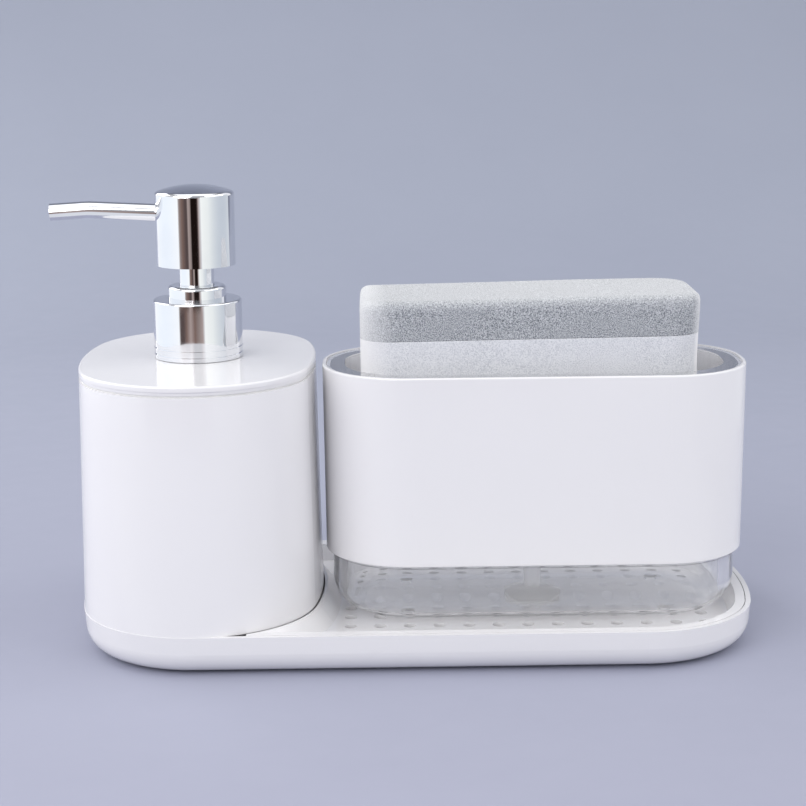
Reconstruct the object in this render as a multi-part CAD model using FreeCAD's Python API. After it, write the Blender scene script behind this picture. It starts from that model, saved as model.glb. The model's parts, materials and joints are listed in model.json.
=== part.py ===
import FreeCAD, Part
import math
import os
from FreeCAD import Vector

# Soap pump caddy: an oval soap bottle with a pump beside a clear sponge cup, both on one long drip tray.
# Lengths are millimetres. +X runs along the tray towards the cup, +Y to the back and +Z up from the table.
# The origin lies under the middle of the whole outline, spout included, on the table.

# Drip tray
tray_depth = 119.8
tray_height = 14.1
tray_end_reach = 43.9
tray_nose_radius = 42.3
tray_draft = 1.2
tray_underside_radius = 8.5
tray_wall = 3.0
tray_floor = 3.0
tray_rim_wall = 1.8

# Rubber feet under the tray
foot_height = 0.5
foot_radius = 6.0
foot_inset_x = 43.0
foot_inset_y = 28.0

# Drain plate that drops into the tray beside the bottle
plate_lip = 2.0
plate_lip_width = 3.4
plate_hug_width = 1.0
plate_hug_slope = 5.0
plate_dish_depth = 6.0
plate_slope = 2.8
plate_thickness = 1.6
plate_horn_width = 1.8
drain_hole_radius = 2.2
drain_pitch_x = 10.6
drain_pitch_y = 10.4
drain_offset_x = -3.8
drain_margin = 1.6
post_radius = 2.0
post_spacing = 22.0

# Soap bottle
bottle_height = 83.4
bottle_wall = 2.5
bottle_taper = 1.4
bottle_inset = 0.2
bottle_foot_depth = 6.6
bottle_foot_radius = 6.0
bottle_floor = 2.2

# Lid of the bottle and its seal
seal_thickness = 0.8
seal_inset = 0.8
lid_band = 1.2
lid_band_inset = 0.4
lid_flange = 1.9
lid_edge_radius = 0.8
lid_plug_depth = 6.0
lid_plug_wall = 2.0
neck_radius = 13.2

# Pump collar and the ring on top of it
collar_radius = 16.0
collar_height = 20.9
collar_top = 3.4
collar_gap = 0.2
collar_edge_radius = 0.8
collar_groove = 0.35
collar_groove_width = 0.5
cutter_margin = 1.0
collar_groove_heights = (1.5, 3.8)
ring_radius = 10.5
ring_height = 5.0
ring_edge_radius = 1.4
ring_spigot_radius = 9.4
ring_guide_length = 20.0

# Pump head, stem and spout
head_radius = 14.2
head_height = 28.7
head_wall = 1.3
head_crown = 2.6
head_edge_radius = 1.6
head_top_wall = 1.8
core_gap = 2.0
stem_radius = 6.25
stem_wall = 1.2
stem_socket = 8.0
spout_radius = 3.1
spout_bore = 2.1
spout_reach = 51.5
spout_bend_reach = 38.0
spout_height = 18.0
spout_rise_deg = 2.9
spout_droop_deg = 3.4
spout_bend_radius = 40.0
spout_socket = 6.0
channel_radius = 2.0

# Pump works inside the bottle
washer_thickness = 1.2
housing_flange = 1.6
housing_bore = 8.2
housing_wall = 1.6
housing_length = 65.0
vent_radius = 0.7
vent_drop = 5.0
chamber_radius = 3.6
chamber_length = 7.0
seat_length = 2.5
tail_wall = 1.6
tail_length = 7.0
ball_radius = 2.9
cage_thickness = 1.5
cage_opening = 2.4
rod_bore = 1.8
rod_flange = 2.0
rod_flange_radius = 6.4
piston_height = 10.0
pump_stroke = 12.0
spring_wire = 1.0
spring_radius = 5.4
spring_turns = 8
dip_radius = 3.0
dip_wall = 0.9
dip_floor_gap = 2.0

# Sponge cup and its sleeve
cup_corner_radius = 28.6
cup_wall = 5.2
cup_floor = 2.6
cup_height = 90.3
cup_bottom_radius = 11.5
cup_inner_bottom_radius = 5.0
cup_rim_radius = 0.6
cup_lip = 1.7
cup_lip_reach = 1.5
cup_bead = 1.0
cup_bead_reach = 0.9
cup_end_gap = 2.6
cup_bottle_gap = 0.8
cup_hole_radius = 2.5
cup_hole_inset_x = 27.1
cup_hole_inset_y = 14.1
sleeve_wall = 2.9
sleeve_taper = 0.5
sleeve_height = 68.3
sleeve_skirt = 22.3
sleeve_edge_radius = 0.6

# Riser that carries the sponge
riser_height = 73.8
riser_thickness = 2.0
riser_wall_gap = 2.6
riser_post_radius = 3.2
riser_foot_radius = 10.5
riser_foot_height = 0.8
riser_flare = 2.0
riser_rib = 2.0
riser_rib_depth = 7.0
riser_rib_length = 96.0
riser_slot_length = 15.0
riser_slot_width = 5.0
riser_slot_radius = 2.4
riser_slot_pitch = 11.0

# Two-layer sponge
sponge_length = 121.3
sponge_depth = 47.2
sponge_corner_radius = 14.0
sponge_end_gap = 7.95
sponge_side_gap = 3.2
sponge_foam = 25.6
sponge_scrub = 14.6
sponge_edge_radius = 3.5
sponge_shift = -2.3

# Clearances
slide_gap = 0.3
drop_gap = 0.4
bottle_gap = 0.5
thread_gap = 0.3
running_gap = 0.08
push_gap = 0.03
stop_gap = 0.4

# Levels that follow from the sizes
tray_rim_z = foot_height + tray_height
tray_floor_z = foot_height + tray_floor
ledge_z = tray_rim_z - plate_lip
plate_floor_z = tray_rim_z - plate_dish_depth
bottle_foot_z = tray_rim_z - bottle_foot_depth
bottle_floor_z = bottle_foot_z + bottle_floor
mouth_z = tray_rim_z + bottle_height
lid_under_z = mouth_z + seal_thickness
lid_top_z = lid_under_z + lid_band + lid_flange
collar_z = lid_top_z + collar_gap
collar_top_z = collar_z + collar_height
flange_top_z = collar_top_z - collar_top
flange_z = flange_top_z - housing_flange
neck_top_z = flange_z - washer_thickness
ring_top_z = collar_top_z + ring_height
head_z = collar_top_z + stop_gap + pump_stroke
head_top_z = head_z + head_height
core_z = head_z + ring_height - stop_gap + core_gap
core_top_z = head_top_z - head_crown - head_top_wall
socket_top_z = core_z + stem_socket
step_z = flange_z - housing_length
seat_z = step_z - chamber_length
tail_top_z = seat_z - seat_length
tail_z = tail_top_z - tail_length
cage_top_z = step_z + cage_thickness
guide_z = flange_top_z - ring_guide_length
piston_z = guide_z - piston_height
rod_z = piston_z - rod_flange
cup_top_z = plate_floor_z + cup_height
cup_floor_z = plate_floor_z + cup_floor
sleeve_z = plate_floor_z + sleeve_skirt
sleeve_top_z = sleeve_z + sleeve_height
cup_lip_z = cup_top_z - cup_lip
riser_top_z = cup_floor_z + riser_height
sponge_joint_z = riser_top_z + sponge_foam
sponge_top_z = sponge_joint_z + sponge_scrub

# The cup fits round the sponge, and the tray takes the bottle and the cup side by side
cup_half_width = sponge_length / 2 + sponge_end_gap + cup_wall
cup_half_depth = sponge_depth / 2 + sponge_side_gap + cup_wall
tray_length = 2 * (tray_end_reach + cup_half_width + sleeve_wall) + cup_bottle_gap + cup_end_gap

# Places along X, with the middle of the whole outline at zero
tray_half = tray_length / 2
tray_half_depth = tray_depth / 2
bottle_from_tray = tray_end_reach - tray_half
cup_from_tray = tray_half - cup_end_gap - cup_half_width - sleeve_wall
tip_lean = spout_radius * math.sin(math.radians(spout_droop_deg))
left_reach = max(tray_half, spout_reach + tip_lean - bottle_from_tray)
tray_x = (left_reach - tray_half) / 2
bottle_x = tray_x + bottle_from_tray
cup_x = tray_x + cup_from_tray
plate_hug = bottle_gap - bottle_inset


def oval_points(half_x, half_y, nose):
    """Tangent corner of an oval made of two side arcs and two nose arcs."""
    side = (half_x ** 2 + half_y ** 2 - 2 * half_y * nose) / (2 * (half_x - nose))
    along = Vector(side - half_x, half_y - nose, 0)
    along.normalize()
    return nose * along.x, half_y - nose + nose * along.y


def oval(half_x, half_y, nose, centre_x, z):
    """Closed oval outline at one level."""
    tx, ty = oval_points(half_x, half_y, nose)
    corners = [Vector(tx, -ty, 0), Vector(tx, ty, 0), Vector(-tx, ty, 0), Vector(-tx, -ty, 0)]
    middles = [Vector(half_x, 0, 0), Vector(0, half_y, 0), Vector(-half_x, 0, 0), Vector(0, -half_y, 0)]
    edges = [Part.Arc(corners[i], middles[i], corners[(i + 1) % 4]).toShape() for i in range(4)]
    wire = Part.Wire(edges)
    wire.translate(Vector(centre_x, 0, z))
    return wire


def tray_outline(inset, z):
    """Long tray outline, drawn in by the inset: straight sides between two oval ends."""
    half_y = tray_half_depth - inset
    reach = tray_end_reach - inset
    nose = tray_nose_radius - inset
    straight = tray_half - tray_end_reach
    tx, ty = oval_points(reach, half_y, nose)
    lean = math.atan2(ty - half_y + nose, tx)
    turn = (lean + math.pi / 2) / 2
    mx = nose * math.cos(turn)
    my = half_y - nose + nose * math.sin(turn)
    edges = []
    for s in (1, -1):
        near = Vector(s * straight, -s * half_y, 0)
        near_mid = Vector(s * (straight + mx), -s * my, 0)
        near_end = Vector(s * (straight + tx), -s * ty, 0)
        tip = Vector(s * (straight + reach), 0, 0)
        far_end = Vector(s * (straight + tx), s * ty, 0)
        far_mid = Vector(s * (straight + mx), s * my, 0)
        far = Vector(s * straight, s * half_y, 0)
        edges.append(Part.Arc(near, near_mid, near_end).toShape())
        edges.append(Part.Arc(near_end, tip, far_end).toShape())
        edges.append(Part.Arc(far_end, far_mid, far).toShape())
        edges.append(Part.LineSegment(far, Vector(-s * straight, s * half_y, 0)).toShape())
    wire = Part.Wire(edges)
    wire.translate(Vector(tray_x, 0, z))
    return wire


def bottle_oval(inset, z):
    """Oval of the bottle's place in the tray, drawn in by the inset."""
    return oval(tray_end_reach - inset, tray_half_depth - inset, tray_nose_radius - inset, bottle_x, z)


def round_box(half_x, half_y, radius, centre_x, z):
    """Rectangle with rounded corners at one level."""
    sx, sy = half_x - radius, half_y - radius
    diagonal = radius * math.sqrt(0.5)
    edges = []
    for px, py in ((1, 1), (-1, 1), (-1, -1), (1, -1)):
        first = Vector(px * half_x, py * sy, 0)
        middle = Vector(px * (sx + diagonal), py * (sy + diagonal), 0)
        last = Vector(px * sx, py * half_y, 0)
        ends = (first, last) if px * py > 0 else (last, first)
        edges.append(Part.Arc(ends[0], middle, ends[1]).toShape())
    corners = list(edges)
    for i in range(4):
        start = corners[i].Vertexes[-1].Point
        end = corners[(i + 1) % 4].Vertexes[0].Point
        edges.insert(2 * i + 1, Part.LineSegment(start, end).toShape())
    wire = Part.Wire(edges)
    wire.translate(Vector(centre_x, 0, z))
    return wire


def cup_box(grow, z):
    """Outline of the cup's outer wall, grown or drawn in."""
    return round_box(cup_half_width + grow, cup_half_depth + grow, cup_corner_radius + grow, cup_x, z)


def prism(wire, top_z):
    """Upright solid from a level outline up to a height."""
    return Part.Face(wire).extrude(Vector(0, 0, top_z - wire.BoundBox.ZMin))


def taper(lower, upper):
    """Solid between two outlines at different levels."""
    return Part.makeLoft([lower, upper], True, True)


def rounded(solid, radius, level):
    """The solid with every edge that lies at one level rounded."""
    slack = 1e-4
    edges = [e for e in solid.Edges
             if abs(e.BoundBox.ZMin - level) < slack and abs(e.BoundBox.ZMax - level) < slack]
    return solid.makeFillet(radius, edges)


def turned(points, axis_x=bottle_x):
    """Solid turned about an upright axis from radius and height pairs."""
    corners = [Vector(axis_x + r, 0, z) for r, z in points]
    face = Part.Face(Part.makePolygon(corners + corners[:1]))
    return face.revolve(Vector(axis_x, 0, 0), Vector(0, 0, 1), 360)


def disc(radius, z, top_z, axis_x=bottle_x):
    """Upright cylinder."""
    return Part.makeCylinder(radius, top_z - z, Vector(axis_x, 0, z))


def tube(outer, inner, z, top_z):
    """Upright pipe on the pump's axis."""
    return disc(outer, z, top_z).cut(disc(inner, z, top_z))


def save(name, shape):
    """Writes one piece, checked to be sound."""
    shape = shape.removeSplitter()
    if not shape.isValid():
        raise RuntimeError(name + " is not a valid solid")
    shape.exportStep("parts/" + name + ".step")


def base_tray():
    """Long tray with a rounded underside, a ledge inside its rim and posts for the drain plate."""
    body = taper(tray_outline(tray_draft, foot_height), tray_outline(0, tray_rim_z))
    body = rounded(body, tray_underside_radius, foot_height)
    basin = rounded(prism(tray_outline(tray_wall, tray_floor_z), tray_rim_z),
                    tray_underside_radius - tray_wall, tray_floor_z)
    rebate = prism(tray_outline(tray_rim_wall, ledge_z), tray_rim_z)
    body = body.cut(basin).cut(rebate)
    post_x = bottle_x + tray_end_reach + plate_hug + (plate_hug_width + plate_hug_slope) / 2
    for i in (-1, 0, 1):
        foot = Vector(post_x, i * post_spacing, tray_floor_z)
        body = body.fuse(Part.makeCylinder(post_radius, plate_floor_z - plate_thickness - tray_floor_z, foot))
    return body


def rubber_feet():
    """Four pads that carry the tray."""
    places = [(sx, sy) for sx in (-1, 1) for sy in (-1, 1)]
    pads = []
    for sx, sy in places:
        x = tray_x + sx * (tray_half - foot_inset_x)
        y = sy * (tray_half_depth - foot_inset_y)
        pads.append(Part.makeCylinder(foot_radius, foot_height, Vector(x, y, 0)))
    return Part.makeCompound(pads)


def drain_plate():
    """Shallow perforated dish whose lip lies on the tray's ledge and hugs the bottle."""
    lip_inset = tray_rim_wall + slide_gap
    dish_inset = lip_inset + plate_lip_width
    under_z = plate_floor_z - plate_thickness
    lip = prism(tray_outline(lip_inset, ledge_z), tray_rim_z)
    tub = taper(tray_outline(dish_inset + plate_slope - plate_thickness, under_z),
                tray_outline(dish_inset - plate_thickness, ledge_z))
    dish = taper(tray_outline(dish_inset + plate_slope, plate_floor_z), tray_outline(dish_inset, tray_rim_z))
    dish_hug = plate_hug + plate_hug_width
    keep = taper(bottle_oval(-dish_hug - plate_hug_slope, plate_floor_z), bottle_oval(-dish_hug, tray_rim_z))
    plate = lip.fuse(tub).cut(dish.cut(keep))
    room = prism(bottle_oval(-plate_hug, foot_height), lid_top_z)
    plate = plate.cut(room)
    # The two horns beside the bottle end where they are still wide enough to mould.
    horn_y = tray_half_depth - lip_inset - plate_horn_width
    start = Vector(bottle_x, horn_y, ledge_z)
    probe = Part.LineSegment(start, Vector(tray_x + tray_half, horn_y, ledge_z)).toShape()
    horn_x = max(v.X for v in probe.common(room).Vertexes)
    plate = plate.cut(Part.makeBox(tray_length, tray_depth, tray_rim_z,
                                   Vector(horn_x - tray_length, -tray_half_depth, 0)))
    # Drain holes fill the flat of the dish.
    reach = drain_hole_radius + drain_margin
    flat = Part.Face(tray_outline(dish_inset + plate_slope + reach, plate_floor_z))
    flat = flat.cut(Part.Face(bottle_oval(-dish_hug - plate_hug_slope - reach, plate_floor_z)))
    columns = int(tray_half / drain_pitch_x) + 1
    rows = int(tray_half_depth / drain_pitch_y) + 1
    holes = []
    for i in range(-columns, columns + 1):
        for j in range(-rows, rows + 1):
            place = Vector(cup_x + drain_offset_x + i * drain_pitch_x, j * drain_pitch_y, plate_floor_z)
            if place.x > bottle_x and flat.isInside(place, 1e-3, True):
                under = place - Vector(0, 0, plate_thickness)
                holes.append(Part.makeCylinder(drain_hole_radius, plate_thickness, under))
    return plate.cut(Part.makeCompound(holes))


def soap_bottle():
    """Oval bottle, open at the top, with a reduced foot that stands in the tray."""
    foot_inset = tray_wall + drop_gap
    wall = taper(bottle_oval(bottle_inset, tray_rim_z), bottle_oval(bottle_inset + bottle_taper, mouth_z))
    foot = prism(bottle_oval(foot_inset, bottle_foot_z), tray_rim_z)
    foot = rounded(foot, bottle_foot_radius, bottle_foot_z)
    inside_z = tray_rim_z + bottle_wall
    inside = taper(bottle_oval(bottle_inset + bottle_wall, inside_z),
                   bottle_oval(bottle_inset + bottle_wall + bottle_taper, mouth_z))
    well = prism(bottle_oval(foot_inset + bottle_wall, bottle_floor_z), inside_z)
    return wall.fuse(foot).cut(inside).cut(well)


def bottle_lid():
    """Oval lid with a plug that drops into the mouth and a neck that carries the pump."""
    edge = bottle_inset + bottle_taper
    flange = prism(bottle_oval(edge, lid_top_z - lid_flange), lid_top_z)
    flange = rounded(flange, lid_edge_radius, lid_top_z)
    band = prism(bottle_oval(edge + lid_band_inset, lid_under_z), lid_top_z - lid_flange)
    plug_inset = edge + bottle_wall + drop_gap
    plug = prism(bottle_oval(plug_inset, lid_under_z - lid_plug_depth), lid_under_z)
    plug = plug.cut(prism(bottle_oval(plug_inset + lid_plug_wall, lid_under_z - lid_plug_depth), lid_under_z))
    lid = flange.fuse(band).fuse(plug).fuse(disc(neck_radius, lid_top_z, neck_top_z))
    return lid.cut(disc(housing_bore + housing_wall + drop_gap, lid_under_z, neck_top_z))


def lid_seal():
    """Flat seal between the lid and the bottle's rim, round the lid's plug."""
    edge = bottle_inset + bottle_taper
    outer = prism(bottle_oval(edge + seal_inset, mouth_z), lid_under_z)
    return outer.cut(prism(bottle_oval(edge + bottle_wall + drop_gap - push_gap, mouth_z), lid_under_z))


def pump_collar():
    """Turned collar that clamps the pump on the lid's neck."""
    collar = disc(collar_radius, collar_z, collar_top_z)
    collar = rounded(collar, collar_edge_radius, collar_top_z)
    collar = collar.cut(disc(neck_radius + thread_gap, collar_z, flange_top_z))
    collar = collar.cut(disc(ring_spigot_radius + thread_gap, flange_top_z, collar_top_z))
    for height in collar_groove_heights:
        z = collar_z + height
        floor_radius = collar_radius - collar_groove
        collar = collar.cut(tube(collar_radius + cutter_margin, floor_radius, z, z + collar_groove_width))
    return collar


def collar_ring():
    """Ring on the collar that guides the stem and holds it in the housing."""
    rim = rounded(disc(ring_radius, collar_top_z, ring_top_z), ring_edge_radius, ring_top_z)
    spigot = disc(ring_spigot_radius, flange_top_z, collar_top_z)
    guide = disc(housing_bore - push_gap, guide_z, flange_top_z)
    bore = disc(stem_radius + running_gap, guide_z, ring_top_z)
    return rim.fuse(spigot).fuse(guide).cut(bore)


def spout_path(start):
    """Centre line of the spout, from a distance out of the pump's axis to its tip."""
    rise = math.radians(spout_rise_deg)
    droop = math.radians(spout_droop_deg)
    root = Vector(bottle_x, 0, head_z + spout_height)
    out = Vector(-math.cos(rise), 0, math.sin(rise))
    down = Vector(-math.cos(droop), 0, -math.sin(droop))
    bend = root + out * (spout_bend_reach / math.cos(rise))
    trim = spout_bend_radius * math.tan((rise + droop) / 2)
    first = root + out * (start / math.cos(rise))
    enter = bend - out * trim
    leave = bend + down * trim
    tip = bend + down * ((spout_reach - spout_bend_reach) / math.cos(droop))
    inward = down - out
    inward.normalize()
    sagitta = spout_bend_radius * (1 / math.cos((rise + droop) / 2) - 1)
    middle = bend + inward * sagitta
    edges = [Part.LineSegment(first, enter).toShape(), Part.Arc(enter, middle, leave).toShape(),
             Part.LineSegment(leave, tip).toShape()]
    return Part.Wire(edges), first, out


def spout_rod(radius, start):
    """Round bar along the spout's centre line."""
    path, first, out = spout_path(start)
    ring = Part.Wire([Part.makeCircle(radius, first, out)])
    return path.makePipeShell([ring], True, False)


def pump_head():
    """Hollow button with a low crown, pierced for the spout."""
    crown_radius = (head_radius ** 2 + head_crown ** 2) / (2 * head_crown)
    crown = Part.makeSphere(crown_radius, Vector(bottle_x, 0, head_top_z - crown_radius))
    shell = disc(head_radius, head_z, head_top_z).common(crown)
    shell = rounded(shell, head_edge_radius, head_top_z - head_crown)
    shell = shell.cut(disc(head_radius - head_wall, head_z, core_top_z))
    return shell.cut(spout_rod(spout_radius + push_gap, spout_socket))


def head_core():
    """Moulded core of the button: stem socket, channel and spout socket."""
    core = disc(head_radius - head_wall - push_gap, core_z, core_top_z)
    core = core.cut(disc(stem_radius + push_gap, core_z, socket_top_z))
    core = core.cut(disc(channel_radius, socket_top_z, head_z + spout_height))
    core = core.cut(spout_rod(channel_radius, 0))
    return core.cut(spout_rod(spout_radius + push_gap, spout_socket))


def spout():
    """Spout tube with its bore, cut off square at the tip."""
    return spout_rod(spout_radius, spout_socket).cut(spout_rod(spout_bore, spout_socket))


def pump_stem():
    """Sleeve of the stem that shows between the ring and the button."""
    return tube(stem_radius, stem_radius - stem_wall, guide_z + slide_gap, socket_top_z)


def piston_rod():
    """Hollow rod from the button down to the piston, with a flange under the piston."""
    outer = stem_radius - stem_wall - running_gap
    bar = disc(outer, rod_z, socket_top_z - push_gap)
    collar = disc(rod_flange_radius, rod_z, piston_z)
    return bar.fuse(collar).cut(disc(rod_bore, rod_z, socket_top_z))


def piston():
    """Piston with two sealing lips and a waist between them."""
    inner = stem_radius - stem_wall - running_gap + push_gap
    lip = housing_bore - running_gap
    waist = (lip + inner) / 2
    step = piston_height / 4
    profile = [(inner, piston_z), (lip, piston_z), (lip, piston_z + step), (waist, piston_z + 1.5 * step),
               (waist, piston_z + 2.5 * step), (lip, piston_z + 3 * step), (lip, piston_z + 4 * step),
               (inner, piston_z + 4 * step)]
    return turned(profile)


def return_spring():
    """Coil of half turns, each a tilted half circle that meets the next one smoothly."""
    low = cage_top_z + spring_wire / 2 + push_gap
    high = rod_z - spring_wire / 2 - push_gap
    rise = (high - low) / (2 * spring_turns)
    bulge = math.hypot(spring_radius, rise / 2)
    edges = []
    for i in range(2 * spring_turns):
        side = 1 if i % 2 == 0 else -1
        z = low + i * rise
        start = Vector(bottle_x + side * spring_radius, 0, z)
        middle = Vector(bottle_x, side * bulge, z + rise / 2)
        end = Vector(bottle_x - side * spring_radius, 0, z + rise)
        edges.append(Part.Arc(start, middle, end).toShape())
    print("spring gap between turns", round(2 * rise - spring_wire, 2))
    ring = Part.Wire([Part.makeCircle(spring_wire / 2, edges[0].Vertexes[0].Point, Vector(0, 1, 0))])
    return Part.Wire(edges).makePipeShell([ring], True, False)


def pump_housing():
    """Cylinder of the pump with its flange, ball seat and tail for the dip tube."""
    outer = housing_bore + housing_wall
    socket = dip_radius + push_gap
    tail = socket + tail_wall
    profile = [(socket, tail_z), (tail, tail_z), (tail, seat_z), (outer, step_z - housing_wall),
               (outer, flange_z), (neck_radius, flange_z), (neck_radius, flange_top_z),
               (housing_bore, flange_top_z), (housing_bore, step_z), (chamber_radius, step_z),
               (chamber_radius, seat_z), (dip_radius - dip_wall, tail_top_z), (socket, tail_top_z)]
    body = turned(profile)
    vent = Part.makeCylinder(vent_radius, 2 * outer, Vector(bottle_x, 0, guide_z - vent_drop),
                             Vector(0, 1, 0))
    return body.cut(vent)


def housing_washer():
    """Flat washer between the housing's flange and the neck."""
    return tube(neck_radius, housing_bore + housing_wall + push_gap, neck_top_z, flange_z)


def ball_cage():
    """Ring that keeps the ball down and carries the spring."""
    return tube(housing_bore - push_gap, cage_opening, step_z, cage_top_z)


def valve_ball():
    """Ball that rests on the cone of the seat."""
    throat = dip_radius - dip_wall
    slope = math.atan2(seat_length, chamber_radius - throat)
    axis_z = tail_top_z - throat * math.tan(slope) + ball_radius / math.cos(slope) + push_gap
    return Part.makeSphere(ball_radius, Vector(bottle_x, 0, axis_z))


def dip_tube():
    """Suction tube that reaches almost to the bottle's floor, cut on the slant."""
    low_z = bottle_floor_z + dip_floor_gap
    pipe = tube(dip_radius, dip_radius - dip_wall, low_z, tail_top_z)
    wedge = Part.makePolygon([Vector(bottle_x - dip_radius, -dip_radius, low_z),
                              Vector(bottle_x + dip_radius, -dip_radius, low_z),
                              Vector(bottle_x + dip_radius, -dip_radius, low_z + dip_radius),
                              Vector(bottle_x - dip_radius, -dip_radius, low_z)])
    return pipe.cut(Part.Face(wedge).extrude(Vector(0, 2 * dip_radius, 0)))


def sponge_cup():
    """Clear thick-walled cup with drain holes, a lip over its sleeve and a bead under it."""
    body = rounded(prism(cup_box(0, plate_floor_z), cup_top_z), cup_bottom_radius, plate_floor_z)
    lip = prism(cup_box(cup_lip_reach, cup_lip_z), cup_top_z)
    bead = prism(cup_box(cup_bead_reach, sleeve_z - cup_bead), sleeve_z)
    body = rounded(body.fuse(lip).fuse(bead).removeSplitter(), cup_rim_radius, cup_top_z)
    inside = rounded(prism(cup_box(-cup_wall, cup_floor_z), cup_top_z), cup_inner_bottom_radius, cup_floor_z)
    body = body.cut(inside)
    for sx in (-1, 1):
        for sy in (-1, 1):
            x = cup_x + sx * (cup_half_width - cup_hole_inset_x)
            y = sy * (cup_half_depth - cup_hole_inset_y)
            body = body.cut(Part.makeCylinder(cup_hole_radius, cup_floor, Vector(x, y, plate_floor_z)))
    return body


def cup_sleeve():
    """White band round the cup, a little narrower at its foot, held between the cup's lip and bead."""
    body = taper(cup_box(sleeve_wall - sleeve_taper, sleeve_z), cup_box(sleeve_wall, sleeve_top_z))
    body = rounded(body, sleeve_edge_radius, sleeve_top_z)
    body = rounded(body, sleeve_edge_radius, sleeve_z)
    body = body.cut(prism(cup_box(running_gap, sleeve_z), cup_lip_z))
    return body.cut(prism(cup_box(cup_lip_reach + running_gap, cup_lip_z), sleeve_top_z))


def sponge_riser():
    """Slotted platform on a post with a flared foot, standing on the cup's floor."""
    grow = -cup_wall - riser_wall_gap
    top = prism(cup_box(grow, riser_top_z - riser_thickness), riser_top_z)
    under_z = riser_top_z - riser_thickness
    foot_z = cup_floor_z + riser_foot_height
    flare_z = foot_z + riser_flare
    post = turned([(0, cup_floor_z), (riser_foot_radius, cup_floor_z), (riser_foot_radius, foot_z),
                   (riser_post_radius, flare_z), (riser_post_radius, under_z), (0, under_z)], cup_x)
    body = top.fuse(post)
    rib = Part.makeBox(riser_rib_length, riser_rib, riser_rib_depth,
                       Vector(cup_x - riser_rib_length / 2, -riser_rib / 2, under_z - riser_rib_depth))
    body = body.fuse(rib)
    count = int((cup_half_width + grow - riser_post_radius - riser_slot_width) / riser_slot_pitch)
    for side in (-1, 1):
        for i in range(count):
            x = cup_x + side * (riser_slot_pitch * (i + 1) - riser_slot_width / 2)
            for sy in (-1, 1):
                y = sy * (riser_rib / 2 + riser_slot_width / 2 + riser_slot_length / 2)
                slot = round_box(riser_slot_width / 2, riser_slot_length / 2, riser_slot_radius, x, under_z)
                slot.translate(Vector(0, y, 0))
                body = body.cut(prism(slot, riser_top_z))
    return body


def sponge_layer(z, top_z, edge_z):
    """Rounded block of one sponge layer, with the edges at one level softened."""
    outline = round_box(sponge_length / 2, sponge_depth / 2, sponge_corner_radius, cup_x + sponge_shift, z)
    return rounded(prism(outline, top_z), sponge_edge_radius, edge_z)


os.makedirs("parts", exist_ok=True)
save("base_tray", base_tray())
save("rubber_feet", rubber_feet())
save("drain_plate", drain_plate())
save("soap_bottle", soap_bottle())
save("bottle_lid", bottle_lid())
save("lid_seal", lid_seal())
save("pump_collar", pump_collar())
save("collar_ring", collar_ring())
save("pump_head", pump_head())
save("head_core", head_core())
save("spout", spout())
save("pump_stem", pump_stem())
save("piston_rod", piston_rod())
save("piston", piston())
save("return_spring", return_spring())
save("pump_housing", pump_housing())
save("housing_washer", housing_washer())
save("ball_cage", ball_cage())
save("valve_ball", valve_ball())
save("dip_tube", dip_tube())
save("sponge_cup", sponge_cup())
save("cup_sleeve", cup_sleeve())
save("sponge_riser", sponge_riser())
save("sponge_foam", sponge_layer(riser_top_z, sponge_joint_z, riser_top_z))
save("sponge_scrub", sponge_layer(sponge_joint_z, sponge_top_z, sponge_top_z))
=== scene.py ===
import json
import math

import bmesh
import bpy
from mathutils import Matrix, Vector, noise

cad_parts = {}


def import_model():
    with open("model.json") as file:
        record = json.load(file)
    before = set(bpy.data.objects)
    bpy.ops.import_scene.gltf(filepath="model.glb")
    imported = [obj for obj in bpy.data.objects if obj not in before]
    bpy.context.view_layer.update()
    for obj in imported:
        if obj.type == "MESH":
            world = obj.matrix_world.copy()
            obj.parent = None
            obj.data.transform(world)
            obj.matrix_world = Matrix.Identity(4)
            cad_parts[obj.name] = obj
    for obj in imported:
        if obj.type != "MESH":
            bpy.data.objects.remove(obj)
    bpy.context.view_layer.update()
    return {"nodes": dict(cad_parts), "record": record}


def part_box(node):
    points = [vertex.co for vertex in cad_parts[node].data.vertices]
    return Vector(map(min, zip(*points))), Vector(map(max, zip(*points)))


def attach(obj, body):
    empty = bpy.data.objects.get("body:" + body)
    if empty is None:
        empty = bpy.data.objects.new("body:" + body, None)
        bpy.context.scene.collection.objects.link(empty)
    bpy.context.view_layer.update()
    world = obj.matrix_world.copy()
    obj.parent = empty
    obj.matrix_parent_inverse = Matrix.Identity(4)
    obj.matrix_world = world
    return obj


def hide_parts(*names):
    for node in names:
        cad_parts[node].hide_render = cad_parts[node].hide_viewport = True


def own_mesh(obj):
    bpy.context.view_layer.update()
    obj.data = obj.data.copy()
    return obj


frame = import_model()
scene = bpy.context.scene
scene.view_settings.view_transform = "Standard"


# Camera at the photograph's viewing angle: place in metres, turns in radians
photo_width = 806
focal_pixels = 1907.45
camera_place = (-0.0102, -0.68255, 0.22699)
camera_pitch = 0.2073
camera_yaw = -0.014
camera_roll = 0.0092


def place_camera():
    """Camera that looks down by its pitch, then turned by its yaw and its roll."""
    across = Vector((math.cos(camera_yaw), math.sin(camera_yaw), 0))
    level = Vector((-math.sin(camera_yaw), math.cos(camera_yaw), 0))
    upright = Vector((0, 0, 1))
    ahead = math.cos(camera_pitch) * level - math.sin(camera_pitch) * upright
    up = math.sin(camera_pitch) * level + math.cos(camera_pitch) * upright
    side = math.cos(camera_roll) * across - math.sin(camera_roll) * up
    top = math.sin(camera_roll) * across + math.cos(camera_roll) * up
    data = bpy.data.cameras.new("camera")
    data.sensor_width = 36.0
    data.lens = focal_pixels * data.sensor_width / photo_width
    data.clip_start = 0.01
    camera = bpy.data.objects.new("camera", data)
    camera.matrix_world = Matrix.Translation(camera_place) @ Matrix((side, top, -ahead)).transposed().to_4x4()
    scene.collection.objects.link(camera)
    scene.camera = camera


place_camera()


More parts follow.
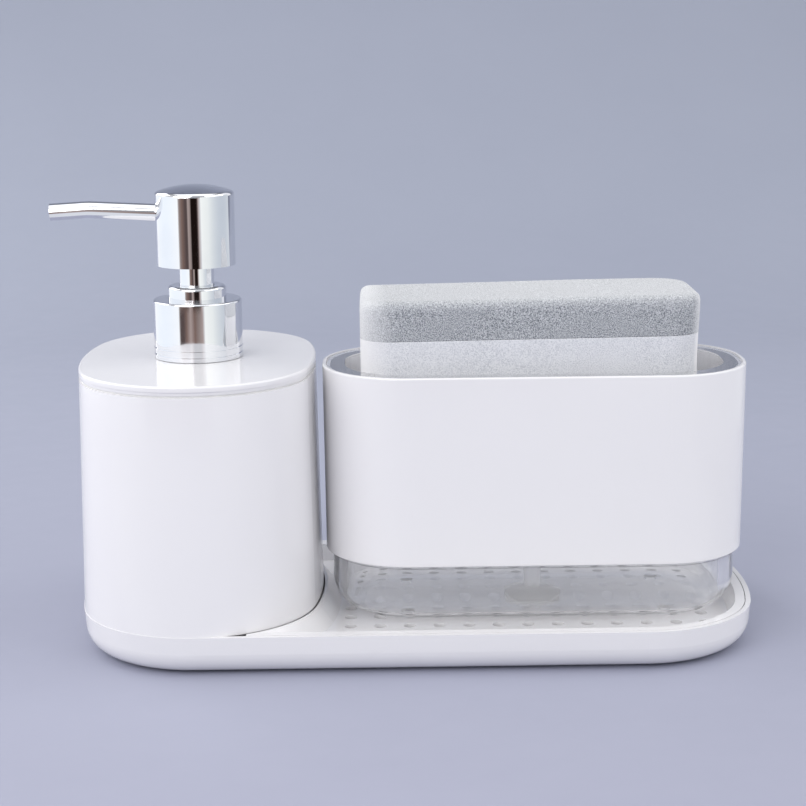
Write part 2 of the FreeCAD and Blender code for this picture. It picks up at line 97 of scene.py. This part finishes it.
# Materials
class Nodes:
    """One material and short calls for its nodes. Scales are in cells per metre, depths in metres."""

    def __init__(self, name):
        self.mat = bpy.data.materials.new(name)
        self.mat.use_nodes = True
        self.tree = self.mat.node_tree
        self.shader = self.tree.nodes["Principled BSDF"]
        self.coord = self.add("ShaderNodeTexCoord").outputs["Object"]

    def add(self, kind, **settings):
        node = self.tree.nodes.new(kind)
        for key, value in settings.items():
            setattr(node, key, value)
        return node

    def join(self, source, target):
        self.tree.links.new(source, target)

    def put(self, **values):
        """Plain values on the shader's own sockets, with _ for a space."""
        for key, value in values.items():
            self.shader.inputs[key.replace("_", " ")].default_value = value

    def noise(self, scale, detail=2.0, rough=0.5, stretch=None):
        tex = self.add("ShaderNodeTexNoise")
        tex.inputs["Scale"].default_value = scale
        tex.inputs["Detail"].default_value = detail
        tex.inputs["Roughness"].default_value = rough
        source = self.coord
        if stretch:
            mapping = self.add("ShaderNodeMapping")
            mapping.inputs["Scale"].default_value = stretch
            self.join(self.coord, mapping.inputs["Vector"])
            source = mapping.outputs["Vector"]
        self.join(source, tex.inputs["Vector"])
        return tex.outputs["Fac"]

    def cells(self, scale):
        tex = self.add("ShaderNodeTexVoronoi")
        tex.inputs["Scale"].default_value = scale
        self.join(self.coord, tex.inputs["Vector"])
        return tex.outputs["Distance"]

    def span(self, source, low, high, start=0.3, end=0.7):
        """Maps a texture value from start..end to low..high."""
        node = self.add("ShaderNodeMapRange")
        node.inputs["From Min"].default_value = start
        node.inputs["From Max"].default_value = end
        node.inputs["To Min"].default_value = low
        node.inputs["To Max"].default_value = high
        self.join(source, node.inputs["Value"])
        return node.outputs["Result"]

    def ramp(self, source, stops):
        node = self.add("ShaderNodeValToRGB")
        items = node.color_ramp.elements
        while len(items) < len(stops):
            items.new(0.5)
        for item, (place, colour) in zip(items, stops):
            item.position = place
            item.color = (*colour, 1)
        self.join(source, node.inputs["Fac"])
        return node.outputs["Color"]

    def blend(self, source, first, second):
        """Mixes two colours, each a colour or a socket, by a texture value."""
        node = self.add("ShaderNodeMix", data_type="RGBA")
        self.join(source, node.inputs[0])
        for socket, value in ((node.inputs[6], first), (node.inputs[7], second)):
            if isinstance(value, tuple):
                socket.default_value = (*value, 1)
            else:
                self.join(value, socket)
        return node.outputs[2]

    def bump(self, source, depth, strength, after=None):
        node = self.add("ShaderNodeBump")
        node.inputs["Strength"].default_value = strength
        node.inputs["Distance"].default_value = depth
        self.join(source, node.inputs["Height"])
        if after:
            self.join(after, node.inputs["Normal"])
        return node.outputs["Normal"]

    def colour(self, source):
        self.join(source, self.shader.inputs["Base Color"])

    def rough(self, source):
        self.join(source, self.shader.inputs["Roughness"])

    def normal(self, source):
        self.join(source, self.shader.inputs["Normal"])


def white_gloss():
    """Polished white moulding: faint cloudiness, a fine orange-peel skin and uneven gloss."""
    n = Nodes("white_gloss")
    n.colour(n.ramp(n.noise(14, 2, 0.4), [(0.25, (0.806, 0.799, 0.812)), (0.75, (0.818, 0.811, 0.823))]))
    n.rough(n.span(n.noise(30, 2), 0.12, 0.16))
    peel = n.bump(n.noise(420, 2), 0.00012, 0.10)
    n.normal(n.bump(n.noise(2600, 1), 0.00002, 0.10, peel))
    n.put(IOR=1.48, Subsurface_Weight=0.05, Subsurface_Radius=(0.003, 0.003, 0.003))
    return n.mat


def pump_chrome():
    """Bright plating with faint hand smudges and the slight ripple of plated plastic."""
    n = Nodes("pump_chrome")
    n.colour(n.ramp(n.noise(60, 3), [(0.3, (0.80, 0.81, 0.84)), (0.7, (0.86, 0.87, 0.89))]))
    n.rough(n.span(n.noise(110, 4, 0.6), 0.025, 0.075))
    n.normal(n.bump(n.noise(150, 1), 0.00008, 0.06))
    n.put(Metallic=1.0)
    return n.mat


def clear_acrylic(name, ior, straight, clear, coat):
    """Polished plastic with a cool cast, fine flow marks and rubbed gloss; milky where clear is low."""
    n = Nodes(name)
    n.colour(n.ramp(n.noise(18, 3), [(0.3, (0.972, 0.976, 0.984)), (0.7, (0.988, 0.990, 0.994))]))
    n.rough(n.span(n.noise(90, 4, 0.6), 0.015, 0.05))
    n.normal(n.bump(n.noise(40, 2, 0.5, (1, 1, 0.35)), 0.0003, 0.05))
    n.put(IOR=ior, Transmission_Weight=clear, Coat_Weight=coat, Coat_IOR=1.49, Coat_Roughness=0.02)
    # Lamps and bounced light pass through the clear wall, as they do through real plastic, and a share of
    # what is seen through it isn't bent.
    path = n.add("ShaderNodeLightPath")
    through = n.add("ShaderNodeBsdfTransparent")
    through.inputs["Color"].default_value = (0.985, 0.985, 0.99, 1)
    mix = n.add("ShaderNodeMixShader")
    passing = n.add("ShaderNodeMath", operation="MAXIMUM")
    n.join(path.outputs["Is Shadow Ray"], passing.inputs[0])
    n.join(path.outputs["Is Diffuse Ray"], passing.inputs[1])
    least = n.add("ShaderNodeMath", operation="MAXIMUM")
    least.inputs[1].default_value = straight
    n.join(passing.outputs[0], least.inputs[0])
    n.join(least.outputs[0], mix.inputs[0])
    n.join(n.shader.outputs[0], mix.inputs[1])
    n.join(through.outputs[0], mix.inputs[2])
    n.join(mix.outputs[0], n.tree.nodes["Material Output"].inputs["Surface"])
    return n.mat


sponge_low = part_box("sponge_foam")[0]
sponge_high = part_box("sponge_scrub")[1]

# Painted light: the sponge is painted fully pale this far in from its ends, and by this share at its top
painted_light_inset = 0.001
painted_light_top_share = 0.35


def painted_light_edges(n, left, right, top):
    """Painted light: share from 0 to 1 by which the sponge is painted paler towards its left end, its right
    end and its top, where the lamps light it and the view glances off it.
    """
    place = n.add("ShaderNodeSeparateXYZ")
    n.join(n.coord, place.inputs[0])
    share = n.span(place.outputs["X"], 1.0, 0.0, sponge_low.x + painted_light_inset, sponge_low.x + left)
    for axis, most, start, end in (("X", 1.0, sponge_high.x - right, sponge_high.x - painted_light_inset),
                                   ("Z", painted_light_top_share, sponge_high.z - top, sponge_high.z)):
        both = n.add("ShaderNodeMath", operation="MAXIMUM")
        n.join(share, both.inputs[0])
        n.join(n.span(place.outputs[axis], 0.0, most, start, end), both.inputs[1])
        share = both.outputs[0]
    return share


def foam_white():
    """Fine open-cell foam: grey mottling painted as the shade in small pores, a paler web between them, ends
    and top painted pale as painted light, and a matt surface.
    """
    n = Nodes("foam_white")
    pores = n.cells(1900)
    # Painted shade: the grey of this mottling stands for the shade inside the pores.
    mottled = n.ramp(n.noise(2600, 2, 0.6), [(0.34, (0.48, 0.50, 0.54)), (0.50, (0.68, 0.695, 0.73)),
                                             (0.66, (0.78, 0.79, 0.81))])
    web = n.blend(n.span(n.noise(70, 3), 0.0, 0.35), mottled, (0.75, 0.76, 0.79))
    # Painted light: the pale tone here is light painted onto the ends and top.
    n.colour(n.blend(painted_light_edges(n, left=0.012, right=0.003, top=0.001), web, (0.88, 0.88, 0.89)))
    n.rough(n.span(n.noise(300, 2), 0.82, 0.97))
    n.normal(n.bump(pores, 0.00018, 0.35))
    n.put(Specular_IOR_Level=0.15, Sheen_Weight=0.35, Sheen_Roughness=0.5)
    return n.mat


def foam_grey():
    """Coarse scrubbing foam: grey strands, dark specks painted as the shade in its open cells, pale specks,
    and painted light that makes its ends and top paler.
    """
    n = Nodes("foam_grey")
    cells = n.cells(2600)
    grain = n.noise(2700, 2, 0.62)
    # Painted shade: the near-black end of the grain stands for the shade inside the open cells.
    body = n.ramp(grain, [(0.34, (0.08, 0.09, 0.105)), (0.48, (0.32, 0.34, 0.365)),
                          (0.64, (0.62, 0.635, 0.66))])
    strands = n.blend(n.span(cells, 0.35, 1.0, 0.05, 0.5), (0.52, 0.535, 0.56), body)
    # Painted light: this pale tone is light painted onto the ends and top.
    painted_light_tone = n.ramp(grain, [(0.34, (0.60, 0.61, 0.625)), (0.66, (0.80, 0.81, 0.82))])
    n.colour(n.blend(painted_light_edges(n, left=0.013, right=0.004, top=0.005), strands, painted_light_tone))
    n.rough(n.span(n.noise(300, 2), 0.85, 0.98))
    n.normal(n.bump(cells, 0.0003, 0.45))
    n.put(Specular_IOR_Level=0.12, Sheen_Weight=0.45, Sheen_Roughness=0.4)
    return n.mat


def foot_rubber():
    """Soft grey pad with a dusty, grained skin."""
    n = Nodes("foot_rubber")
    n.colour(n.ramp(n.noise(240, 4), [(0.3, (0.42, 0.42, 0.43)), (0.7, (0.52, 0.52, 0.53))]))
    n.rough(n.span(n.noise(400, 3), 0.7, 0.9))
    n.normal(n.bump(n.noise(1500, 2), 0.00008, 0.4))
    return n.mat


def seal_silicone():
    """Milky silicone with a waxy skin."""
    n = Nodes("seal_silicone")
    n.colour(n.ramp(n.noise(120, 3), [(0.3, (0.70, 0.70, 0.70)), (0.7, (0.80, 0.80, 0.79))]))
    n.rough(n.span(n.noise(200, 3), 0.4, 0.6))
    n.normal(n.bump(n.noise(900, 2), 0.00004, 0.3))
    n.put(Subsurface_Weight=0.2, Subsurface_Radius=(0.002, 0.002, 0.002))
    return n.mat


def works_plastic():
    """Natural moulding, slightly waxy, with faint turning lines along its height."""
    n = Nodes("works_plastic")
    n.colour(n.ramp(n.noise(90, 3), [(0.3, (0.72, 0.72, 0.69)), (0.7, (0.80, 0.80, 0.77))]))
    n.rough(n.span(n.noise(160, 3), 0.35, 0.5))
    n.normal(n.bump(n.noise(900, 2, 0.5, (0.2, 0.2, 3)), 0.00004, 0.3))
    n.put(Subsurface_Weight=0.15, Subsurface_Radius=(0.002, 0.002, 0.002))
    return n.mat


def spring_steel():
    """Drawn wire with fine draw lines."""
    n = Nodes("spring_steel")
    n.colour(n.ramp(n.noise(300, 3), [(0.3, (0.50, 0.51, 0.53)), (0.7, (0.62, 0.63, 0.65))]))
    n.rough(n.span(n.noise(900, 3), 0.22, 0.38))
    n.normal(n.bump(n.noise(2500, 2), 0.00003, 0.3))
    n.put(Metallic=1.0)
    return n.mat


finishes = {
    "white_gloss": white_gloss(),
    "pump_chrome": pump_chrome(),
    "clear_acrylic": clear_acrylic("clear_acrylic", ior=1.26, straight=0.0, clear=0.905, coat=1.0),
    "foam_white": foam_white(),
    "foam_grey": foam_grey(),
    "foot_rubber": foot_rubber(),
    "seal_silicone": seal_silicone(),
    "works_plastic": works_plastic(),
    "spring_steel": spring_steel()}
for row in frame["record"]["subparts"]:
    mesh = frame["nodes"][row["node"]].data
    mesh.materials.clear()
    mesh.materials.append(finishes[row["material_slot"]])

# The riser is slightly milky and thin, and bends the light less than the cup's thick wall does.
milky_riser = clear_acrylic("milky_riser", ior=1.15, straight=0.55, clear=0.35, coat=0.25)
frame["nodes"]["sponge_riser"].data.materials[0] = milky_riser


def link_mesh(name, bm):
    """Makes a bmesh an object of the scene."""
    mesh = bpy.data.meshes.new(name)
    bm.to_mesh(mesh)
    bm.free()
    made = bpy.data.objects.new(name, mesh)
    scene.collection.objects.link(made)
    return made


def smooth_sides(bm):
    """Smooth shading on all but the large closing faces."""
    for f in bm.faces:
        f.smooth = len(f.verts) < 5


# Sponge: one soft block with pores, cut at the joint into a white foam layer and a grey scrubbing layer
def keep_inside(x, y, half_x, half_y, radius):
    """Draws a plan point back onto a rounded rectangle if it lies outside one of its corners."""
    px, py = abs(x) - half_x + radius, abs(y) - half_y + radius
    reach = math.hypot(px, py)
    if px <= 0 or py <= 0 or reach <= radius:
        return x, y
    nx, ny = half_x - radius + px * radius / reach, half_y - radius + py * radius / reach
    return math.copysign(nx, x), math.copysign(ny, y)


def remesh(piece, size):
    """Gives the piece an even skin of small faces."""
    mod = piece.modifiers.new("remesh", "REMESH")
    mod.mode = "VOXEL"
    mod.voxel_size = size
    bpy.context.view_layer.update()
    made = bpy.data.meshes.new_from_object(piece.evaluated_get(bpy.context.evaluated_depsgraph_get()))
    piece.modifiers.clear()
    piece.data = made


def ease(t):
    """Smooth step from 0 to 1."""
    t = min(max(t, 0.0), 1.0)
    return t * t * (3 - 2 * t)


sponge_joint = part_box("sponge_scrub")[0].z
sponge_middle = (sponge_low + sponge_high) / 2
sponge_half = (sponge_high - sponge_low) / 2
cup_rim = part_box("sponge_cup")[1].z

# Rounding of the upright corners above the cup, by side in X and Y, and inside the cup
sponge_corners = {(-1, -1): 0.009, (1, -1): 0.008, (1, 1): 0.014, (-1, 1): 0.004}
sponge_squeezed = 0.014

# Rounding of the level edges, by side in Z, and the faces across each rounding
sponge_edges = {1: 0.0028, -1: 0.0035}
corner_faces = 8
edge_faces = 5

# Face size of the skin before and after it is squeezed, and how near to a side counts as on it
coarse_skin = 0.0012
fine_skin = 0.00062
on_side = 0.999

# Pores and swelling: scales in waves per metre, depths in metres; the scrubbing layer's depth is added
pore_scale = 1400
small_pore_scale = 2900
foam_pore = 0.00008
scrub_pore = 0.00012
joint_blend = 0.0015
swell_scale = 22
swell_height = 0.00035
swell_inset = 0.0002

# The top stands this much higher at the right end than at the left end
sponge_lean = 0.0021


def sponge_block():
    """Whole sponge about its own middle: rounded, and squeezed by the cup's corners low down."""
    half = sponge_half
    bm = bmesh.new()
    bmesh.ops.create_cube(bm, size=2.0)
    bmesh.ops.scale(bm, vec=half, verts=bm.verts)
    for (side_x, side_y), radius in sponge_corners.items():
        upright = [e for e in bm.edges
                   if all(v.co.x * side_x > half.x * on_side and v.co.y * side_y > half.y * on_side
                          for v in e.verts)]
        bmesh.ops.bevel(bm, geom=upright, offset=radius, affect="EDGES", segments=corner_faces,
                        profile=0.5, material=-1)
    for side, radius in sponge_edges.items():
        ring = [e for e in bm.edges if all(v.co.z * side > half.z * on_side for v in e.verts)]
        bmesh.ops.bevel(bm, geom=ring, offset=radius, affect="EDGES", segments=edge_faces,
                        profile=0.5, material=-1)
    bmesh.ops.recalc_face_normals(bm, faces=bm.faces)
    block = link_mesh("sponge_block", bm)
    remesh(block, coarse_skin)
    for v in block.data.vertices:
        above = ease((v.co.z + sponge_middle.z - cup_rim) / (sponge_high.z - cup_rim))
        corner = sponge_corners[(1 if v.co.x > 0 else -1, 1 if v.co.y > 0 else -1)]
        radius = sponge_squeezed + (corner - sponge_squeezed) * above
        v.co.x, v.co.y = keep_inside(v.co.x, v.co.y, half.x, half.y, radius)
    remesh(block, fine_skin)
    return block


def open_pores(block):
    """Sinks fine pores into the block, deeper in the scrubbing layer, and lets its faces swell unevenly."""
    mesh = block.data
    moved = []
    for v in mesh.vertices:
        p = v.co
        coarse = ease((p.z + sponge_middle.z - sponge_joint) / joint_blend + 0.5)
        grain = noise.noise(p * pore_scale) + 0.5 * noise.noise(p * small_pore_scale)
        sink = min(0.0, grain) * (foam_pore + scrub_pore * coarse)
        swell = noise.noise(p * swell_scale) * swell_height - swell_inset
        moved.append(p + v.normal * (swell + sink))
    for v, p in zip(mesh.vertices, moved):
        for i in range(3):
            p[i] = min(max(p[i], -sponge_half[i]), sponge_half[i])
        v.co = p + sponge_middle


def sponge_layer(name, block, side):
    """One layer of the block, cut off at the joint and closed there, a little higher at its right end."""
    bm = bmesh.new()
    bm.from_mesh(block.data)
    whole = bm.verts[:] + bm.edges[:] + bm.faces[:]
    cut = bmesh.ops.bisect_plane(bm, geom=whole, dist=1e-7, plane_co=(0, 0, sponge_joint),
                                 plane_no=(0, 0, side), clear_inner=True)["geom_cut"]
    bmesh.ops.holes_fill(bm, edges=[e for e in cut if isinstance(e, bmesh.types.BMEdge)], sides=0)
    for v in bm.verts:
        along = (v.co.x - sponge_middle.x) / (sponge_high.x - sponge_low.x)
        v.co.z += sponge_lean * along * (v.co.z - sponge_low.z) / (sponge_high.z - sponge_low.z)
    smooth_sides(bm)
    return link_mesh(name, bm)


block = sponge_block()
open_pores(block)
for name, node, slot, side in (("sponge_foam_layer", "sponge_foam", "foam_white", -1),
                               ("sponge_scrub_layer", "sponge_scrub", "foam_grey", 1)):
    layer = sponge_layer(name, block, side)
    layer.data.materials.append(finishes[slot])
    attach(layer, "sponge")
    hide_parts(node)
bpy.data.objects.remove(block)


# Return spring: a wound coil in the place of the CAD spring, carried with the pump
wire = 0.001
wire_sides = 10
coil_turns = 8
steps_per_turn = 28


def return_coil(name):
    """Coil in the place of the CAD spring, wound upwards from its foot."""
    low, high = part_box("return_spring")
    middle = (low + high) / 2
    length = high.z - low.z
    steps = coil_turns * steps_per_turn
    bm = bmesh.new()
    bmesh.ops.create_circle(bm, cap_ends=True, radius=wire / 2, segments=wire_sides)
    bmesh.ops.rotate(bm, cent=(0, 0, 0), matrix=Matrix.Rotation(math.pi / 2, 3, "X"), verts=bm.verts)
    bmesh.ops.translate(bm, vec=(high.x - wire / 2, middle.y, low.z + wire / 2), verts=bm.verts)
    bmesh.ops.spin(bm, geom=bm.faces[:] + bm.edges[:] + bm.verts[:], cent=middle, axis=(0, 0, 1),
                   dvec=(0, 0, (length - wire) / steps), angle=2 * math.pi * coil_turns, steps=steps)
    bmesh.ops.holes_fill(bm, edges=[e for e in bm.edges if e.is_boundary], sides=0)
    bmesh.ops.recalc_face_normals(bm, faces=bm.faces)
    smooth_sides(bm)
    coil = link_mesh(name, bm)
    coil.data.materials.append(finishes["spring_steel"])
    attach(coil, "pump")
    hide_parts("return_spring")
    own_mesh(coil)


return_coil("return_coil")


# Studio: one swept floor and backdrop, six soft boxes and cards that only show in reflections
def paper():
    """Matt backdrop paper with a faint fibre, a little darker in front than at the back."""
    n = Nodes("floor_paper")
    place = n.add("ShaderNodeSeparateXYZ")
    n.join(n.coord, place.inputs[0])
    front = n.ramp(n.noise(9, 4), [(0.3, (0.350, 0.360, 0.450)), (0.7, (0.360, 0.370, 0.462))])
    back = n.ramp(n.noise(9, 4), [(0.3, (0.412, 0.442, 0.535)), (0.7, (0.422, 0.452, 0.545))])
    n.colour(n.blend(n.span(place.outputs["Y"], 0.0, 1.0, start=-0.15, end=0.9), front, back))
    n.rough(n.span(n.noise(60, 3), 0.62, 0.75))
    n.put(Specular_IOR_Level=0.25)
    return n.mat


def stage_object(name, bm, finish):
    """Links a stage mesh that isn't part of the caddy."""
    for f in bm.faces:
        f.smooth = True
    obj = link_mesh(name, bm)
    obj.data.materials.append(finish)
    return obj


def sweep():
    """Floor that curves up into the backdrop far behind the object."""
    width = 8.0
    front = -3.0
    start = 0.6
    radius = 0.8
    bend_steps = 24
    wall = 1.7
    bm = bmesh.new()
    ends = [bm.verts.new((side * width / 2, front, 0.0)) for side in (-1, 1)]
    edge = bm.edges.new(ends)

    def pull(edge, move):
        made = bmesh.ops.extrude_edge_only(bm, edges=[edge])["geom"]
        bmesh.ops.translate(bm, vec=move, verts=[v for v in made if isinstance(v, bmesh.types.BMVert)])
        return next(e for e in made if isinstance(e, bmesh.types.BMEdge))

    edge = pull(edge, (0, start - front, 0))
    turned = bmesh.ops.spin(bm, geom=[edge], cent=(0, start, radius), axis=(1, 0, 0), dvec=(0, 0, 0),
                            angle=math.pi / 2, steps=bend_steps)["geom_last"]
    pull(next(e for e in turned if isinstance(e, bmesh.types.BMEdge)), (0, 0, wall))
    bmesh.ops.recalc_face_normals(bm, faces=bm.faces)
    stage_object("floor", bm, paper())


def soft_box(name, place, aim, width, height, power, colour):
    """Area lamp, unseen by the camera, that faces the place it is aimed at."""
    data = bpy.data.lights.new(name, "AREA")
    data.shape = "RECTANGLE"
    data.size = width
    data.size_y = height
    data.energy = power
    data.color = colour
    obj = bpy.data.objects.new(name, data)
    turn = (Vector(aim) - Vector(place)).to_track_quat("-Z", "Y")
    obj.matrix_world = Matrix.Translation(place) @ turn.to_matrix().to_4x4()
    obj.visible_camera = False
    scene.collection.objects.link(obj)


pump_x = sum(v.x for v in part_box("pump_collar")) / 2

# Arc of the upright cards round the pump, and the height of the table card
card_reach = 0.5
card_steps = 16
table_card_z = 0.004


def card_finish(name, stops):
    """Glow of a reflection card, with stripes along X."""
    n = Nodes(name)
    place = n.add("ShaderNodeSeparateXYZ")
    n.join(n.coord, place.inputs[0])
    first, last = stops[0][0], stops[-1][0]
    along = n.span(place.outputs["X"], 0.0, 1.0, pump_x + first, pump_x + last)
    glow = n.ramp(along, [((x - first) / (last - first), colour) for x, colour in stops])
    n.join(glow, n.shader.inputs["Emission Color"])
    n.put(Base_Color=(0, 0, 0, 1), Roughness=1.0, Specular_IOR_Level=0.0, Emission_Strength=1.0)
    n.mat.cycles.emission_sampling = "NONE"
    return n.mat


def only_reflected(obj):
    """Hides a card from everything but reflections."""
    obj.visible_camera = False
    obj.visible_diffuse = False
    obj.visible_shadow = False
    obj.visible_transmission = False


def card(name, first, last, low, high, stops):
    """Upright card on an arc round the pump, from one bearing to another, seen only by reflections."""
    bm = bmesh.new()
    ends = [bm.verts.new((pump_x, -card_reach, z)) for z in (low, high)]
    edge = bm.edges.new(ends)
    bmesh.ops.rotate(bm, cent=(pump_x, 0, 0), matrix=Matrix.Rotation(math.radians(first), 3, "Z"), verts=ends)
    bmesh.ops.spin(bm, geom=[edge], cent=(pump_x, 0, 0), axis=(0, 0, 1), dvec=(0, 0, 0),
                   angle=math.radians(last - first), steps=card_steps)
    only_reflected(stage_object(name, bm, card_finish(name, stops)))


def table_card(name, low, high, glow):
    """Level card just over the table that only shows in reflections, as on the underside of the spout."""
    bm = bmesh.new()
    bmesh.ops.create_grid(bm, x_segments=1, y_segments=1, size=0.5)
    bmesh.ops.scale(bm, vec=(high[0] - low[0], high[1] - low[1], 1), verts=bm.verts)
    middle = ((low[0] + high[0]) / 2, (low[1] + high[1]) / 2, table_card_z)
    bmesh.ops.translate(bm, vec=middle, verts=bm.verts)
    only_reflected(stage_object(name, bm, card_finish(name, [(-1, glow), (1, glow)])))


def world():
    """Soft fill from all round."""
    made = bpy.data.worlds.new("world")
    scene.world = made
    made.use_nodes = True
    shade = made.node_tree.nodes["Background"]
    shade.inputs["Color"].default_value = (0.94, 0.95, 1.0, 1)
    shade.inputs["Strength"].default_value = 0.42


sweep()
world()

# Lamps: places in metres, power in watts
lamp_white = (1.0, 0.99, 0.99)
lamp_warm = (1.0, 0.99, 0.98)
lamp_cool = (0.98, 0.99, 1.0)
soft_box("front_left_box", place=(-0.58, -0.76, 0.58), aim=(0.0, 0.0, 0.06),
         width=0.9, height=0.8, power=6.2, colour=lamp_white)
soft_box("right_box", place=(0.85, -0.32, 0.45), aim=(0.0, 0.0, 0.08),
         width=1.1, height=1.0, power=5.0, colour=lamp_warm)
soft_box("top_box", place=(0.0, -0.15, 1.25), aim=(0.0, 0.0, 0.0),
         width=1.4, height=1.2, power=5.8, colour=lamp_cool)
soft_box("left_box", place=(-0.95, -0.30, 0.50), aim=(-0.05, -0.02, 0.08),
         width=1.5, height=1.1, power=1.4, colour=lamp_white)
soft_box("back_left_box", place=(-0.90, 0.45, 0.55), aim=(0.0, 0.0, 0.06),
         width=0.9, height=0.9, power=5.6, colour=lamp_white)
soft_box("back_right_box", place=(0.90, 0.45, 0.55), aim=(0.0, 0.0, 0.06),
         width=0.9, height=0.9, power=2.0, colour=lamp_warm)

# Tones that the cards give the chrome, from a dark room to bright walls
room_black = (0.012, 0.007, 0.006)
deep_brown = (0.10, 0.072, 0.07)
warm_brown = (0.22, 0.145, 0.125)
dim_grey = (0.31, 0.25, 0.235)
warm_grey = (0.45, 0.365, 0.345)
dull_white = (0.70, 0.68, 0.67)
soft_white = (0.88, 0.89, 0.91)
cool_wall = (1.02, 1.08, 1.16)
bright_wall = (1.12, 1.14, 1.16)
pale_wall = (1.06, 1.08, 1.05)
plain_wall = (0.95, 0.98, 0.97)
shaded_wall = (0.62, 0.67, 0.74)
table_tone = (0.80, 0.82, 0.88)

# Cards: bearings in degrees round the pump from straight in front, heights, and tones by place along X
left_wall_end = -136
dark_left = -43.5
dark_right = 22
right_wall_end = 118
card_foot = 0.002
dark_split = 0.0455
dark_top = 0.20
wall_top = 0.32
card("left_card", left_wall_end, dark_left, card_foot, wall_top, [(-0.50, cool_wall), (-0.34, bright_wall)])
card("dark_card_upper", dark_left, dark_right, dark_split, dark_top,
     [(-0.344, dull_white), (-0.318, dim_grey), (-0.270, warm_brown), (-0.187, deep_brown),
      (-0.150, deep_brown), (-0.121, warm_grey), (-0.070, dim_grey), (-0.046, room_black),
      (0.085, room_black), (0.112, deep_brown), (0.130, warm_grey), (0.187, soft_white)])
card("dark_card_lower", dark_left, dark_right, card_foot, dark_split,
     [(-0.344, dull_white), (-0.320, deep_brown), (-0.262, deep_brown), (-0.203, warm_brown),
      (-0.121, warm_grey), (-0.026, warm_brown), (0.061, dim_grey), (0.146, warm_grey), (0.187, soft_white)])
card("right_card", dark_right, right_wall_end, card_foot, wall_top,
     [(0.18, pale_wall), (0.34, plain_wall), (0.50, shaded_wall)])
table_card("table_card", low=(-0.50, -0.45), high=(0.30, -0.07), glow=table_tone)
